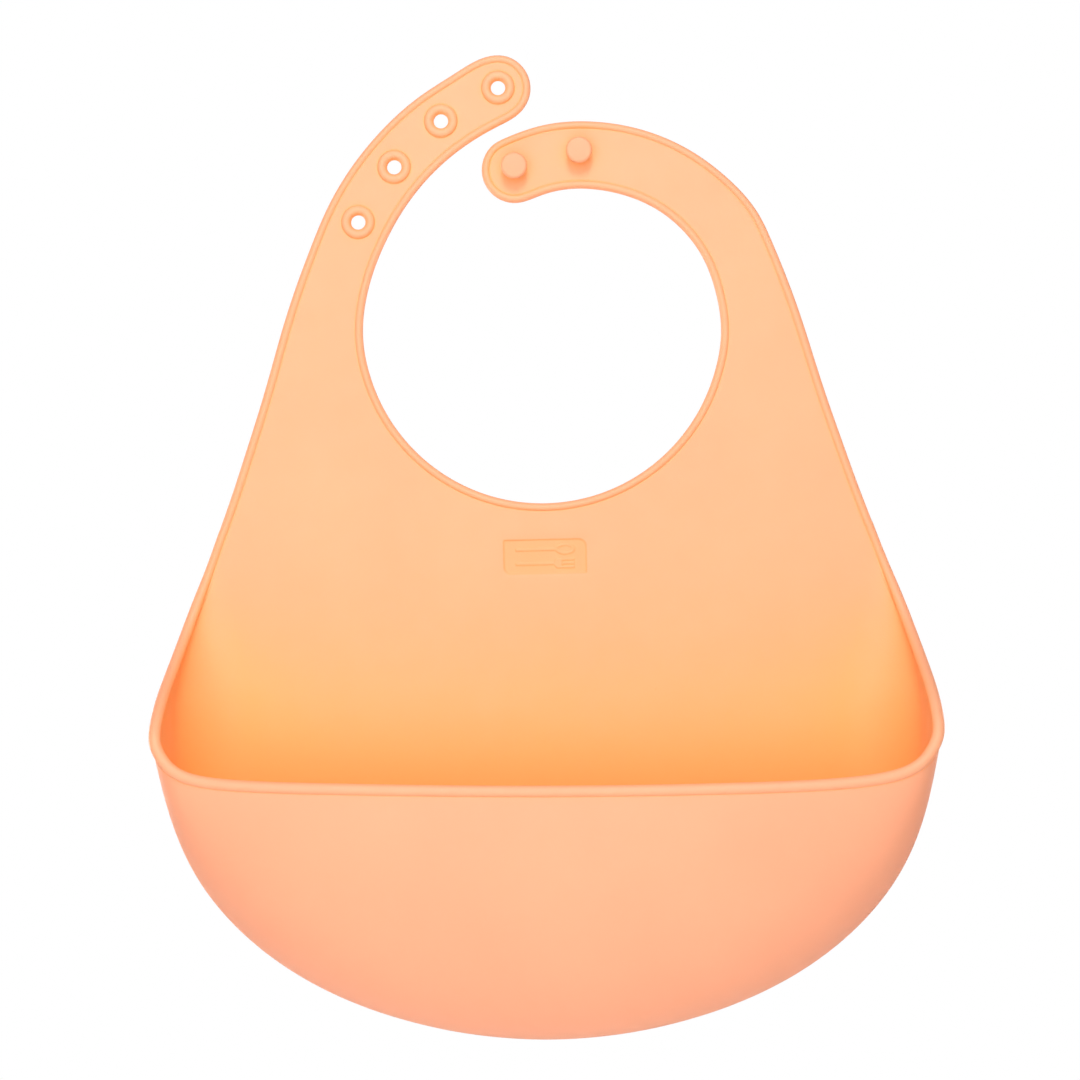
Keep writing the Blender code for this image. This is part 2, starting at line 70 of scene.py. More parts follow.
# ---- pocket: rim x, z, height; angle on the outline; height of the widest point; fillet ----
BOWL_HALF_W, BOWL_DROP, SIDE_END_Z = 109.5, 87.5, -120.5
BOWL_ROUND_X, BOWL_ROUND_Z = 1.92, 2.44
LIP_LEAN = radians(78.0)
LIP_TILT, LIP_LIFT = 0.011, 0.2          # the soft lip hangs a little lower at the right
LIP_SPAN, LIP_START, LIP_FULL = 115, 38, 49     # half width that tilts; heights it sets in between
POCKET = [
    (0.0, -132.8, 50.0, 90, 13.5, 14.0), (30.0, -132.6, 49.9, 68.5, 13.5, 14.5),
    (60.0, -132.0, 49.5, 47, 14.0, 16.0), (85.0, -130.9, 48.8, 28, 16.0, 19.0),
    (97.0, -129.2, 48.0, 18, 18.0, 21.0), (104.0, -125.8, 47.0, 10, 19.0, 22.0),
    (107.6, -120.5, 45.8, 3.4, 19.5, 22.0), (None, -115.0, 43.5, None, 19.0, 22.0),
    (None, -111.0, 39.5, None, 18.0, 21.5), (None, -106.0, 32.0, None, 15.5, 20.5),
    (None, -100.0, 21.5, None, 12.5, 18.5), (None, -94.0, 13.0, None, 9.0, 16.0),
    (None, -88.0, 7.0, None, 5.6, 13.5), (None, -82.0, 3.6, None, 3.2, 11.0),
    (None, -76.0, 1.5, None, 1.4, 8.5), (None, -70.0, 0.0, None, 0.0, 6.0),
    (None, -65.0, 0.0, None, 0.0, 5.0), (None, JOIN_Z, 0.0, None, 0.0, 4.5),
]

# ---- label recess ----
LABEL_W, LABEL_H, LABEL_AT, LABEL_TURN = 24.8, 10.5, (-0.1, -68.6), radians(0.4)
LABEL_STEP, MARK_RISE = 0.34, 0.26       # depth of the recess, rise of the mark in it
LABEL_ROUND, LABEL_SHARP = 2.2, 0.5      # radii of its two kinds of corner
MARK_STEP = 0.22                         # spacing of points in the mark

# ---- silicone ----
BODY_COLOR = (0.81, 0.427, 0.257)
HOLLOW_SHADE_COLOR = (1.0, 0.47, 0.15)   # painted shade: the base colour is deepened to this in hollows, creases and under the studs
# painted shade: occlusion where it starts and where it is full, and how far the occlusion looks, in
# metres
OPEN_AT, FULL_SHADE_AT, SHADE_REACH = 0.92, 0.50, 0.12
LABEL_COLOR = (0.88, 0.405, 0.205)
GLOW_COLOR = (1.0, 0.66, 0.24)   # what comes through one face of the sheet
HOLLOW_SHADE_GLOW = (1.0, 0.58, 0.15)    # painted shade: the light through the sheet is tinted to this in hollows
THROUGH = 0.35
SPECULAR, SHEEN = 0.6, 0.10
SILICONE_IOR, SHEEN_ROUGHNESS = 1.42, 0.6
ROUGH_FROM, ROUGH_TO = 0.46, 0.58
SHEET_GRAIN, LABEL_GRAIN = 0.35, 0.8         # strength of the fine mould grain
GRAIN_DEPTH, UNEVEN_DEPTH = 0.00006, 0.0004  # in metres

# ---- bends, as in the record ----
HOLE_CENTRE, HOLE_MID_R, HOLE_BENDS = (21.4, -7.8), 84.6, [168.0, 146.0, 119.8]
STUD_CENTRE, STUD_MID_R, STUD_BENDS = (13.0, -1.2), 50.5, [25.0, 67.0]
BEND_REACH = 12.0            # the skin is split about this far short of a strap's bend line, towards its root
FOLD_TOP, FOLD_BOTTOM = -50.0, -75.0      # heights that bound the skin piece named for the chest fold

# which strap a place is on
HOLE_FROM_R = 73.0           # the hole strap is farther than this from the centre of its curve
HOLE_TO_X, STUD_FROM_X, STRAP_FROM_Z = 3.0, -25.0, -8.0

STEP = 1.3                   # spacing of the skin's stations along the edge
POCKET_ROWS = 64             # stations from the pocket's foot up to its rim
FILL_STEP = 3.4              # spacing of points inside the flat sheet
ROW_PITCH = 0.866            # rows of an even triangular lattice, as a share of its step
WELD, ON_CUT = 4e-6, 2e-6    # metres: vertices closer than this are one, or lie on a cut
TRIANGLE_EPS = 1e-7          # the same for points of a triangulation, in millimetres
STRAP_CUT_R, FOLD_CUT_R = 16, 32             # a cut takes in faces this near to its point
FOLD_CUT_X = (-90, -60, -30, 0, 30, 60, 90)


# =====================================================================
# curves
# =====================================================================
def spline(knots, step):
    """Twice-differentiable curve through knots (any number of columns), sampled every step."""
    k = np.array(knots, float)
    t = np.r_[0, np.cumsum(np.linalg.norm(np.diff(k, axis=0), axis=1))]
    h, n = np.diff(t), len(k)
    a = np.eye(n)
    b = np.zeros_like(k)
    for i in range(1, n - 1):
        a[i, i - 1:i + 2] = h[i - 1], 2 * (h[i - 1] + h[i]), h[i]
        b[i] = 6 * ((k[i + 1] - k[i]) / h[i] - (k[i] - k[i - 1]) / h[i - 1])
    m = np.linalg.solve(a, b)
    s = np.linspace(0, t[-1], max(2, int(round(t[-1] / step)) + 1))
    i = np.clip(np.searchsorted(t, s, side="right") - 1, 0, n - 2)
    u, v, w = (t[i + 1] - s)[:, None], (s - t[i])[:, None], h[i][:, None]
    return (m[i] * u ** 3 + m[i + 1] * v ** 3) / (6 * w) + (k[i] / w - m[i] * w / 6) * u \
        + (k[i + 1] / w - m[i + 1] * w / 6) * v


def resample(path, step):
    """The same path with points evenly spaced, about step apart."""
    run = np.r_[0, np.cumsum(np.linalg.norm(np.diff(path, axis=0), axis=1))]
    s = np.linspace(0, run[-1], int(round(run[-1] / step)) + 1)
    return np.stack([np.interp(s, run, path[:, k]) for k in range(path.shape[1])], 1)


def arc(cx, cz, r, start, end, count):
    turn = np.radians(np.linspace(start, end, count))
    return [(cx + r * cos(t), cz + r * sin(t)) for t in turn]


def soften(values, reach):
    """Gaussian blur down a column, ends held."""
    k = np.exp(-0.5 * (np.arange(-3 * reach, 3 * reach + 1) / reach) ** 2)
    k /= k.sum()
    pad = 3 * reach
    before = 2 * values[0] - values[pad:0:-1]
    after = 2 * values[-1] - values[-2:-pad - 2:-1]
    v = np.vstack([before, values, after])
    return np.stack([np.convolve(v[:, c], k, mode="valid") for c in range(v.shape[1])], 1)


def unit(v):
    return v / np.linalg.norm(v, axis=-1, keepdims=True)


def smoothstep(x, lo, hi):
    t = np.clip((x - lo) / (hi - lo), 0, 1)
    return t * t * (3 - 2 * t)


def arm_x(z):
    """How far out the arm edge is at height z."""
    edge = spline(ARM_EDGE, 0.5)
    return np.interp(-np.asarray(z, float), -edge[:, 1], edge[:, 0])


def flat_edge():
    """Free edge of the flat part: up the left arm, round straps and neck, down the right arm."""
    arm = ARM_EDGE[:ARM_FLAT]
    knots = [(-x, z) for x, z in reversed(arm)]
    knots += arc(19.3, -6.9, 92.3, 152.0, 118.0, 5)
    knots += arc(-12.0, 69.7, 9.8, 105.0, -45.0, 6)
    knots += [(-12.2, 58.4), (-25.9, 49.9), (-37.2, 38.6), (-45.7, 25.0), (-51.3, 10.0)]
    knots += arc(0, 0, NECK_R, 184.0, 356.0, 15)
    knots += arc(14.0, 1.0, 38.1, 12.0, 72.0, 5)
    knots += [(16.3, 39.4), (8.3, 39.6), (0.4, 37.9)]
    knots += arc(-7.2, 45.6, 9.8, -90.0, -255.0, 7)
    knots += arc(11.9, -3.3, 62.8, 99.0, 33.0, 6)
    knots += arm
    # the arm's own curve runs on past the join, so the edge meets the rim without a kink
    knots[0] = (-float(arm_x(JOIN_Z)), JOIN_Z)
    knots[-1] = (float(arm_x(JOIN_Z)), JOIN_Z)
    return resample(spline(knots, 0.4), STEP)


def bead_half_width(edge):
    """Half width of the bead along the flat edge: slim round straps and neck, fuller down the arms."""
    x, z = edge[:, 0], edge[:, 1]
    neck = np.hypot(x, z) < NECK_R + 2
    w = np.where(neck, BEAD_NECK, BEAD_STRAP)
    arm = ~neck & (z < 60)
    down = smoothstep(-z, -45, 10)
    w = np.where(arm, BEAD_STRAP + (BEAD_ARM - BEAD_STRAP) * down, w)
    return soften(w[:, None], 8)[:, 0]


# =====================================================================
# pocket
# =====================================================================
def pocket_stations():
    """Rows along the pocket's rim: rim x, z, height; outline x, z; widest height; fillet."""
    rows = []
    for x, z, h, degrees, wide_h, fillet in POCKET:
        if degrees is None:
            x = ox = float(arm_x(z)) - BEAD_ARM
            oz = z
        else:
            t = radians(degrees)
            ox = 0.0 if degrees == 90 else (BOWL_HALF_W - BEAD_ARM) * cos(t) ** (2 / BOWL_ROUND_X)
            oz = SIDE_END_Z - (BOWL_DROP - HALF_T) * sin(t) ** (2 / BOWL_ROUND_Z)
        rows.append((x, z, h, ox, oz, wide_h, fillet))
    left = [(-r[0], r[1], r[2], -r[3], *r[4:]) for r in rows[:0:-1]]
    s = spline(left + rows, 0.8)
    ends = s[[0, -1]].copy()
    s = soften(s, 6)
    # the join with the flat edge stays where it is
    hold = smoothstep(np.minimum(np.arange(len(s)), np.arange(len(s))[::-1]), 0, 14)[:, None]
    start, stop = ends[0] - s[0], ends[1] - s[-1]
    half = len(s) // 2
    s[:half] += (1 - hold[:half]) * start
    s[half:] += (1 - hold[half:]) * stop
    s[:, [2, 5]] = np.maximum(s[:, [2, 5]], 0)
    sag = LIP_LIFT - LIP_TILT * s[:, 0] * (1 - (s[:, 0] / LIP_SPAN) ** 4)
    s[:, 1] += sag * smoothstep(s[:, 2], LIP_START, LIP_FULL)
    return resample(s, STEP * 1.25)


def distance_to_path(points, path):
    a, step = path[:-1], np.diff(path, axis=0)
    rel = points[:, None] - a[None]
    t = np.clip((rel * step).sum(2) / (step ** 2).sum(1), 0, 1)
    return np.linalg.norm(rel - t[..., None] * step, axis=2).min(1)


def pocket_surface(rows):
    """Mid-surface from the flat back round the bottom to the bead, with the rim's bead centre line."""
    stations = pocket_stations()
    outline = stations[:, 3:5]
    along = unit(np.gradient(outline, axis=0))
    inward = np.stack([-along[:, 1], along[:, 0]], 1)
    inward[0], inward[-1] = (1, 0), (-1, 0)
    low, high = np.linspace(0, pi / 2, 40), np.linspace(0, LIP_LEAN, 60)[1:]
    full = []
    for (rx, rz, rh, ox, oz, wh, fillet), n in zip(stations, inward):
        out, rim = np.array([ox, oz]), np.array([rx, rz])
        foot = out + n * fillet
        a = foot + (out - foot) * np.sin(low)[:, None]
        b = out + (rim - out) * ((1 - np.cos(high)) / (1 - cos(LIP_LEAN)))[:, None]
        h = np.r_[wh * (1 - np.cos(low)), wh + (rh - wh) * np.sin(high) / sin(LIP_LEAN)]
        xz = np.vstack([a, b])
        full.append(np.stack([xz[:, 0], -h, xz[:, 1]], 1))
    rim = np.array([pts[-1] for pts in full])
    width = rim_half_width(rim)
    near = [slice(max(0, i - 12), i + 13) for i in range(len(rim))]
    share = np.linspace(0, 1, rows)
    grid = []
    for i, pts in enumerate(full):
        away = distance_to_path(pts, rim[near[i]]) - sheet_end(width[i])
        last = max(j for j in range(len(pts)) if away[j] > 0)
        f = away[last] / (away[last] - away[last + 1])
        pts = np.vstack([pts[:last + 1], pts[last] + f * (pts[last + 1] - pts[last])])
        run = np.r_[0, np.cumsum(np.linalg.norm(np.diff(pts, axis=0), axis=1))]
        grid.append(np.stack([np.interp(share * run[-1], run, pts[:, k]) for k in range(3)], 1))
    grid = np.array(grid)
    normal = unit(np.cross(np.gradient(grid, axis=1), np.gradient(grid, axis=0)))
    if normal[len(grid) // 2, 0, 1] > 0:
        normal *= -1
    flat = smoothstep(-grid[:, -1, 1], 0.0, 0.6)[:, None, None]
    flat = np.repeat(flat, rows, axis=1)
    flat[:, 0] = 0
    normal = unit(flat * normal + (1 - flat) * np.array([0, -1.0, 0]))
    return grid, normal, rim, width


def rim_half_width(rim):
    up = smoothstep(-rim[:, 1], 4, 40)
    return BEAD_ARM + (BEAD_LIP - BEAD_ARM) * up


def bead_height(width):
    return 1.1 + 0.35 * width


def crease(width):
    """How far from the bead's centre its round side drops to the sheet's face, in a sharp crease."""
    return width * sqrt(1 - (CREASE_H / bead_height(width)) ** 2)


def sheet_end(width):
    """How far from the bead's centre the plain sheet begins."""
    return 0.82 * width + 0.9


# =====================================================================
# skin
# =====================================================================
class Skin:
    """Collects faces in millimetres; vertices that coincide are shared."""

    def __init__(self):
        self.points, self.faces, self.kinds, self.count = [], [], [], 0

    def add(self, points, faces, kind):
        points = np.asarray(points, float).reshape(-1, 3)
        self.points.append(points)
        self.faces += [tuple(int(i) + self.count for i in f) for f in faces]
        self.kinds += [kind] * len(faces)
        self.count += len(points)

    def grid(self, pts, kind, close_rows=False, close_cols=False, flip=False):
        pts = np.asarray(pts, float)
        r, c = pts.shape[:2]
        idx = np.arange(r * c).reshape(r, c)
        if close_rows:
            idx = np.vstack([idx, idx[:1]])
        if close_cols:
            idx = np.hstack([idx, idx[:, :1]])
        quads = np.stack([idx[:-1, :-1], idx[1:, :-1], idx[1:, 1:], idx[:-1, 1:]], -1).reshape(-1, 4)
        if flip:
            quads = quads[:, ::-1]
        self.add(pts, quads, kind)


def inside(points, loop):
    """Which points lie inside a closed loop, by counting crossings."""
    a, b = loop, np.roll(loop, -1, axis=0)
    hit = (a[None, :, 1] > points[:, 1:2]) != (b[None, :, 1] > points[:, 1:2])
    with np.errstate(divide="ignore", invalid="ignore"):
        x = a[None, :, 0] + (points[:, 1:2] - a[None, :, 1]) * (b[None, :, 0] - a[None, :, 0]) \
            / (b[None, :, 1] - a[None, :, 1])
    return (hit & (points[:, 0:1] < x)).sum(1) % 2 == 1


def lattice(loop, holes, step, clear):
    """Evenly spread points inside a loop and outside its holes, clear of every edge."""
    lo, hi = loop.min(0), loop.max(0)
    rows = []
    for n, z in enumerate(np.arange(lo[1], hi[1], step * ROW_PITCH)):
        x = np.arange(lo[0] + (n % 2) * step / 2, hi[0], step)
        rows.append(np.stack([x, np.full(len(x), z)], 1))
    p = np.vstack(rows)
    p = p[inside(p, loop)]
    for h in holes:
        p = p[~inside(p, h)]
    edges = np.vstack([loop] + holes)
    keep = np.array([np.min(np.hypot(*(edges - q).T)) > clear for q in p])
    return p[keep]


def fill(loop, holes, step):
    """Triangulated sheet inside loop less holes: 2-D points and triangles."""
    # rounded as the triangulation rounds them, so that slivers on straight runs fall on the right side
    loops = [np.float32(ring).astype(float) for ring in [loop] + holes]
    extra = lattice(loop, holes, step, step * 0.55)
    points, edges, n = [], [], 0
    for ring in loops:
        points += [Vector((float(x), float(z))) for x, z in ring]
        edges += [(n + i, n + (i + 1) % len(ring)) for i in range(len(ring))]
        n += len(ring)
    points += [Vector((float(x), float(z))) for x, z in extra]
    out, _, faces, _, _, _ = delaunay_2d_cdt(points, edges, [], 0, TRIANGLE_EPS)
    xz = np.array([tuple(p) for p in out])
    tri = np.array([f for f in faces if len(f) == 3])
    mid = xz[tri].mean(1)
    good = inside(mid, loops[0])
    for h in loops[1:]:
        good &= ~inside(mid, h)
    return xz, tri[good]


def bead_section(width):
    """Across the bead, from the sheet's front round the edge to its back: distance out, height."""
    t, dip = bead_height(width), crease(width)
    front = [(-sheet_end(width), HALF_T), (-dip - 0.42, HALF_T), (-dip - 0.22, HALF_T - 0.01),
             (-dip - 0.10, HALF_T - 0.05)]
    first = pi - np.arcsin(CREASE_H / t)
    angles = first * (1 - np.array([0, 0.07, 0.16, 0.27, 0.40, 0.53, 0.66, 0.78, 0.90, 1.0]))
    front += [(width * cos(a), t * sin(a)) for a in angles]
    back = [(p, -q) for p, q in front[:-1]]
    return np.array(front + back[::-1])


def edge_strip(centre, end, normal, width):
    """The bead swept round the whole free edge. Rows follow the edge, columns cross it."""
    t = unit(np.roll(centre, -1, axis=0) - np.roll(centre, 1, axis=0))
    out = centre - end
    out = unit(out - (out * t).sum(1, keepdims=True) * t)
    n = normal - (normal * t).sum(1, keepdims=True) * t
    n = unit(n - (n * out).sum(1, keepdims=True) * out)
    rows = []
    for c, e, o, up, raw, w in zip(centre, end, out, n, normal, width):
        s = bead_section(w)
        row = c + s[:, :1] * o + s[:, 1:] * up
        row[0], row[-1] = e + HALF_T * raw, e - HALF_T * raw
        rows.append(row)
    return np.array(rows)


def raised(p, height):
    """Points (x, z) of the bib's plane in space, raised by height towards the viewer."""
    return np.stack([p[:, 0], -height * np.ones(len(p)), p[:, 1]], 1)


def turned(x, z, profile, count):
    """Round patch about the Y axis: profile of (radius, height)."""
    a = np.linspace(0, 2 * pi, count, endpoint=False)
    p = np.array(profile)
    return np.stack([x + np.outer(np.cos(a), p[:, 0]), -np.outer(np.ones(count), p[:, 1]),
                     z + np.outer(np.sin(a), p[:, 0])], -1)


def circle(x, z, r, count):
    a = np.linspace(0, 2 * pi, count, endpoint=False)
    return np.stack([x + r * np.cos(a), z + r * np.sin(a)], 1)


def turn_label(p, angle):
    c, s = cos(angle), sin(angle)
    return np.stack([p[:, 0] * c - p[:, 1] * s, p[:, 0] * s + p[:, 1] * c], 1)


def label_loop():
    """Outline of the label recess: two opposite corners round, two nearly sharp."""
    w, h = LABEL_W / 2, LABEL_H / 2
    pts = []
    corners = (1, 1, LABEL_ROUND), (-1, 1, LABEL_SHARP), (-1, -1, LABEL_ROUND), (1, -1, LABEL_SHARP)
    for start, (sx, sz, r) in zip((0, 90, 180, 270), corners):
        for t in np.radians(start + np.linspace(0, 90, 9)):
            pts.append((sx * (w - r) + r * cos(t), sz * (h - r) + r * sin(t)))
    p = resample(np.array(pts + pts[:1]), 0.4)[:-1]
    return turn_label(p, LABEL_TURN) + LABEL_AT


EYELET_N, STUD_N = 48, 40                        # points round each
EYELET_OUT, EYELET_BACK, STUD_OUT = 5.5, 3.7, 3.4    # radii where they meet the sheet
# the eyelet's round ring, and the stud's head with its rounded edge, over the sheet's face
RING_R, RING_HALF_W, RING_RISE, RING_SINK = 3.62, 1.34, 1.32, 0.12
HEAD_R, HEAD_AT, HEAD_ROUND, HEAD_TOP = 2.95, 4.3, 0.9, 5.2


def eyelet_profile():
    """Round from the sheet over the ring's crown, down the funnel and through to the back."""
    foot = [(EYELET_OUT, HALF_T), (5.2, HALF_T - 0.01), (5.05, HALF_T - 0.05)]
    ring = [(RING_R + RING_HALF_W * cos(a), HALF_T - RING_SINK + RING_RISE * sin(a))
            for a in np.radians(np.linspace(3, 150, 13))]
    funnel = [(2.26, 1.05), (2.16, 0.6), (2.13, 0.0), (2.15, -0.5), (2.3, -0.78)]
    return foot + ring + funnel + [(2.7, -HALF_T), (EYELET_BACK, -HALF_T)]


def stud_profile():
    """Up a waisted neck, out under the head and over its rounded face."""
    neck = [(STUD_OUT, 0.0), (2.9, 0.04), (2.5, 0.2), (2.25, 0.55), (2.12, 1.1), (2.1, 2.2),
            (2.2, 2.8), (2.6, 3.06)]
    under = [(3.3, 3.16), (3.62, 3.28), (3.8, 3.55)]
    crown = [(HEAD_R + HEAD_ROUND * sin(a), HEAD_AT + HEAD_ROUND * cos(a))
             for a in np.radians(np.linspace(92, 0, 9))]
    face = [(r, HEAD_TOP) for r in (2.0, 1.0, 0.05)]
    return [(r, HALF_T + h) for r, h in neck + under + crown + face]


def build_skin():
    skin = Skin()
    grid, normal, rim, rim_w = pocket_surface(POCKET_ROWS)

    # closed free edge: flat part, then the pocket's rim from right to left
    edge = flat_edge()
    flat_w = bead_half_width(edge)
    step = unit(np.gradient(edge, axis=0))
    right = np.stack([step[:, 1], -step[:, 0]], 1)
    centre2 = edge + flat_w[:, None] * right
    end2 = edge + (flat_w + sheet_end(flat_w))[:, None] * right
    centre2[0], centre2[-1] = rim[0][[0, 2]], rim[-1][[0, 2]]
    end2[0], end2[-1] = grid[0, -1][[0, 2]], grid[-1, -1][[0, 2]]
    centre = np.vstack([raised(centre2, 0), rim[-2:0:-1]])
    end = np.vstack([raised(end2, 0), grid[-2:0:-1, -1]])
    up = np.vstack([np.tile((0, -1.0, 0), (len(edge), 1)), normal[-2:0:-1, -1]])
    width = np.r_[flat_w, rim_w[-2:0:-1]]
    skin.grid(edge_strip(centre, end, up, width), "edge", close_rows=True)

    # pocket walls
    skin.grid(grid + HALF_T * normal, "pocket")
    skin.grid(grid - HALF_T * normal, "pocket", flip=True)

    # flat sheet, front and back
    flat_grid = grid[..., [0, 2]]
    loop = np.vstack([end2, flat_grid[-1, -2:0:-1], flat_grid[::-1, 0], flat_grid[0, 1:-1]])
    eyelets = [circle(x, z, EYELET_OUT, EYELET_N) for x, z in EYELETS]
    studs = [circle(x, z, STUD_OUT, STUD_N) for x, z in STUDS]
    label = label_loop()
    xz, tri = fill(loop, eyelets + studs + [label], FILL_STEP)
    skin.add(raised(xz, HALF_T), tri, "sheet")
    backs = [circle(x, z, EYELET_BACK, EYELET_N) for x, z in EYELETS]
    xz, tri = fill(loop, backs, FILL_STEP)
    skin.add(raised(xz, -HALF_T), tri, "sheet")

    for n, (x, z) in enumerate(EYELETS, 1):
        skin.grid(turned(x, z, eyelet_profile(), EYELET_N), f"eyelet_{n}", close_rows=True)
    for n, (x, z) in enumerate(STUDS, 1):
        patch = turned(x, z, stud_profile(), STUD_N)
        skin.grid(patch, f"stud_{n}", close_rows=True)
        skin.add(patch[:, -1], [tuple(range(STUD_N))], f"stud_{n}")
    add_label(skin, label)
    return skin


def cutlery_height(p):
    """Height of a plain spoon above a plain fork, raised on the label, in its own coordinates."""
    x = p[:, 0]
    spoon_z, fork_z = p[:, 1] - 2.1, p[:, 1] + 2.1

    def bar(z, half_z, x_from, x_to):
        return np.maximum(np.abs(z) - half_z, np.maximum(x_from - x, x - x_to))

    def oval(z, half_x, half_z):
        return (np.hypot((x - 6.0) / half_x, z / half_z) - 1) * half_z

    shapes = [oval(spoon_z, 2.9, 1.6), bar(spoon_z, 0.40, -8.6, 4.0), bar(fork_z, 0.40, -8.6, 3.6),
              np.maximum(bar(fork_z, 1.4, 2.6, 5.0), oval(fork_z, 3.4, 2.0))]
    shapes += [bar(fork_z + k * 1.12, 0.27, 4.4, 8.6) for k in (-1, 0, 1)]
    solid = smoothstep(-np.min(shapes, axis=0), -0.12, 0.12)
    return MARK_RISE * (solid - 0.7 * smoothstep(-oval(spoon_z, 2.2, 0.95), -0.1, 0.15))


def add_label(skin, outer):
    """Stepped recess with a plain mark of a spoon and a fork."""
    steps = [(0.0, HALF_T), (-0.1, HALF_T - 0.03), (-0.3, HALF_T - 0.5 * LABEL_STEP),
             (-0.5, HALF_T - LABEL_STEP + 0.03), (-0.65, HALF_T - LABEL_STEP)]
    mid = np.array(LABEL_AT)
    half = np.abs(outer - mid).max(0)
    rings = [raised(mid + (outer - mid) * (1 + grow / half), h) for grow, h in steps]
    skin.grid(np.array(rings).transpose(1, 0, 2), "label", close_rows=True)
    xz, tri = fill(rings[-1][:, [0, 2]], [], MARK_STEP)
    height = HALF_T - LABEL_STEP + cutlery_height(turn_label(xz - mid, -LABEL_TURN))
    skin.add(raised(xz, height), tri, "label")


# =====================================================================
# splitting at the bends
# =====================================================================
def bend(centre, mid_r, degrees, tipwards):
    """A strap's bend line: its middle, and the direction along the strap to its tip."""
    t = radians(degrees)
    mid = np.array([centre[0] + mid_r * cos(t), centre[1] + mid_r * sin(t)])
    return mid, np.array([sin(t), -cos(t)]) * tipwards


HOLE = [bend(HOLE_CENTRE, HOLE_MID_R, d, 1) for d in HOLE_BENDS]
STUD = [bend(STUD_CENTRE, STUD_MID_R, d, -1) for d in STUD_BENDS]
# where one skin piece hands over to the next: bend line, distance along the strap
HOLE_SPLITS = [(HOLE[0], -BEND_REACH - 1), (HOLE[1], -BEND_REACH - 2.2), (HOLE[2], -BEND_REACH - 3)]
STUD_SPLITS = [(STUD[0], -BEND_REACH + 2), (STUD[1], -BEND_REACH - 4)]
PIECES = ["chest", "hole_strap_root", "hole_strap_middle", "hole_strap_tip", "stud_strap_root",
          "stud_strap_tip", "chest_fold", "pocket"]


def along_strap(p, split):
    """How far past a split, towards the strap's tip."""
    (mid, direction), shift = split
    return (p - mid) @ direction - shift


def piece_of(mid):
    """Which skin piece a face belongs to, from its middle (x, y, z)."""
    xz = mid[:, [0, 2]]
    which = np.zeros(len(mid), int)
    far = np.hypot(xz[:, 0] - HOLE_CENTRE[0], xz[:, 1] - HOLE_CENTRE[1]) > HOLE_FROM_R
    on_strap = xz[:, 1] > STRAP_FROM_Z
    on_hole = far & on_strap & (xz[:, 0] < HOLE_TO_X)
    on_stud = ~far & on_strap & (xz[:, 0] > STUD_FROM_X)
    for k, split in enumerate(HOLE_SPLITS):
        which[on_hole & (along_strap(xz, split) > 0)] = PIECES.index("hole_strap_root") + k
    for k, split in enumerate(STUD_SPLITS):
        which[on_stud & (along_strap(xz, split) > 0)] = PIECES.index("stud_strap_root") + k
    which[xz[:, 1] < FOLD_TOP] = PIECES.index("chest_fold")
    which[xz[:, 1] < FOLD_BOTTOM] = PIECES.index("pocket")
    return which


def cut(bm, point, normal, near):
    """Add an edge loop along a plane, through the faces near a point."""
    p = Vector(point) * MM
    faces = [f for f in bm.faces if (f.calc_center_median() - p).length < near * MM]
    geom = set(faces)
    for f in faces:
        geom.update(f.edges)
        geom.update(f.verts)
    bmesh.ops.bisect_plane(bm, geom=list(geom), dist=ON_CUT, plane_co=p, plane_no=Vector(normal))


def make_pieces(skin):
    """Weld the skin, cut it at the bends, and make an object of each piece with the whole's normals."""
    bm = bmesh.new()
    kinds = sorted(set(skin.kinds))
    layer = bm.faces.layers.int.new("kind")
    points = np.vstack(skin.points) * MM
    verts = [bm.verts.new(p) for p in points]
    for f, kind in zip(skin.faces, skin.kinds):
        face = bm.faces.new([verts[i] for i in f])
        face[layer] = kinds.index(kind)
    bmesh.ops.remove_doubles(bm, verts=bm.verts, dist=WELD)
    for (mid, direction), shift in HOLE_SPLITS + STUD_SPLITS:
        p = mid + direction * shift
        cut(bm, (p[0], 0, p[1]), (direction[0], 0, direction[1]), STRAP_CUT_R)
    for z in (FOLD_TOP, FOLD_BOTTOM):
        for x in FOLD_CUT_X:
            cut(bm, (x, 0, z), (0, 0, 1), FOLD_CUT_R)
    bmesh.ops.recalc_face_normals(bm, faces=bm.faces)
    bm.normal_update()
    loose = [e for e in bm.edges if len(e.link_faces) != 2]
    print("skin:", len(bm.verts), "vertices", len(bm.faces), "faces", len(loose), "open edges")

    bm.verts.index_update()
    normals = np.array([v.normal[:] for v in bm.verts])
    co = np.array([v.co[:] for v in bm.verts])
    faces = [[v.index for v in f.verts] for f in bm.faces]
    kind = np.array([f[layer] for f in bm.faces])
    mids = np.array([f.calc_center_median()[:] for f in bm.faces]) / MM
    bm.free()
    which = piece_of(mids)
    own = {n: name for n, name in enumerate(kinds) if name.startswith(("eyelet", "stud", "label"))}
    groups = {}
    for i, (k, w) in enumerate(zip(kind, which)):
        name = own.get(k, PIECES[w] + "_skin")
        groups.setdefault(name, []).append(i)
    out = {}
    for name, members in groups.items():
        used = sorted({v for i in members for v in faces[i]})
        where = {v: n for n, v in enumerate(used)}
        mesh = bpy.data.meshes.new(name)
        corners = [[where[v] for v in faces[i]] for i in members]
        mesh.from_pydata([tuple(co[v]) for v in used], [], corners)
        mesh.shade_smooth()
        mesh.normals_split_custom_set_from_vertices([tuple(normals[v]) for v in used])
        obj = bpy.data.objects.new(name, mesh)
        bpy.context.scene.collection.objects.link(obj)
        out[name] = obj
    return out


